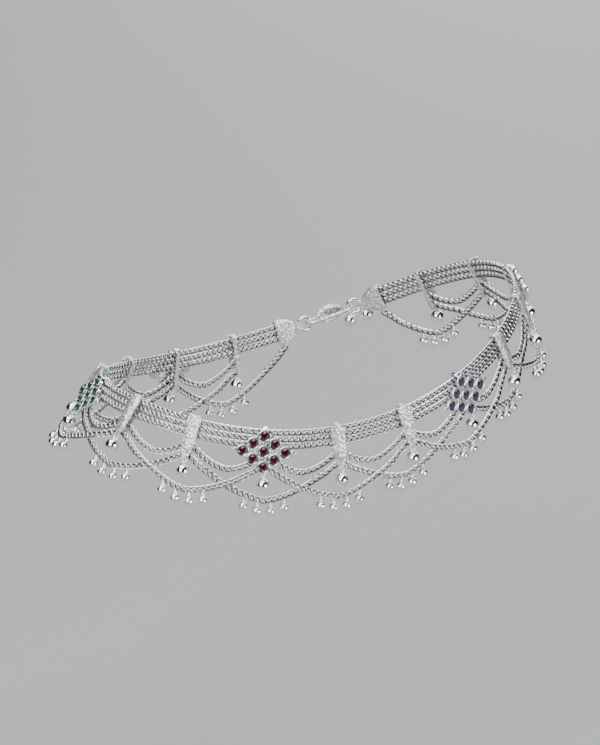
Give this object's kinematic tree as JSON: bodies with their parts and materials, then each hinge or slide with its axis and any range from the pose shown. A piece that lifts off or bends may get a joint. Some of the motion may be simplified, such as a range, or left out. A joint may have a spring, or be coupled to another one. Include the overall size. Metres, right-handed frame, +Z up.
{
  "type": "payal anklet",
  "caption": "Silver payal anklet in its worn form: a chain band with crossing swags, bead fringe, frosted bars, stone rosettes, ball drops and a hook clasp.",
  "frame": {"origin": "the middle of the ankle loop, at the mean level of the band", "axes": "+Z up along the leg, +X from the instep to the heel, +Y to the side of the ankle that the picture does not show"},
  "size_m": [0.1107, 0.0798, 0.0414],
  "materials": {
    "chain_silver": "bright cast silver links, darker between them",
    "frosted_silver": "frosted silver with polished edges",
    "polished_silver": "mirror polished silver",
    "emerald": "dark green cut stones in silver bezels",
    "ruby": "dark red cut stones in silver bezels",
    "sapphire": "navy blue cut stones in silver bezels"
  },
  "bodies": {
    "root": {"band": "chain_silver", "short_swag_chain": "chain_silver", "front_swag_chain": "chain_silver", "back_swag_chain": "chain_silver", "bar_1": "frosted_silver", "ball_drop_1": "polished_silver", "sapphire_rosette_1": "sapphire", "ball_drop_2": "polished_silver", "bar_2": "frosted_silver", "ball_drop_3": "polished_silver", "bar_3": "frosted_silver", "ball_drop_4": "polished_silver", "emerald_rosette_2": "emerald", "ball_drop_5": "polished_silver", "bar_4": "frosted_silver", "ball_drop_6": "polished_silver", "bar_5": "frosted_silver", "ball_drop_7": "polished_silver", "ruby_rosette_3": "ruby", "ball_drop_8": "polished_silver", "bar_6": "frosted_silver", "ball_drop_9": "polished_silver", "bar_7": "frosted_silver", "ball_drop_10": "polished_silver", "sapphire_rosette_4": "sapphire", "ball_drop_11": "polished_silver", "bar_8": "frosted_silver", "ball_drop_12": "polished_silver", "bar_9": "frosted_silver", "ball_drop_13": "polished_silver", "emerald_rosette_5": "emerald", "ball_drop_14": "polished_silver", "bar_10": "frosted_silver", "ball_drop_15": "polished_silver", "bar_11": "frosted_silver", "ball_drop_16": "polished_silver", "clasp_hook": "frosted_silver", "heel_side_ring": "polished_silver", "instep_side_ring": "polished_silver", "clasp_ball_1": "polished_silver", "clasp_ball_2": "polished_silver", "instep_side_cap": "frosted_silver", "heel_side_cap": "frosted_silver"}
  },
  "joints": []
}
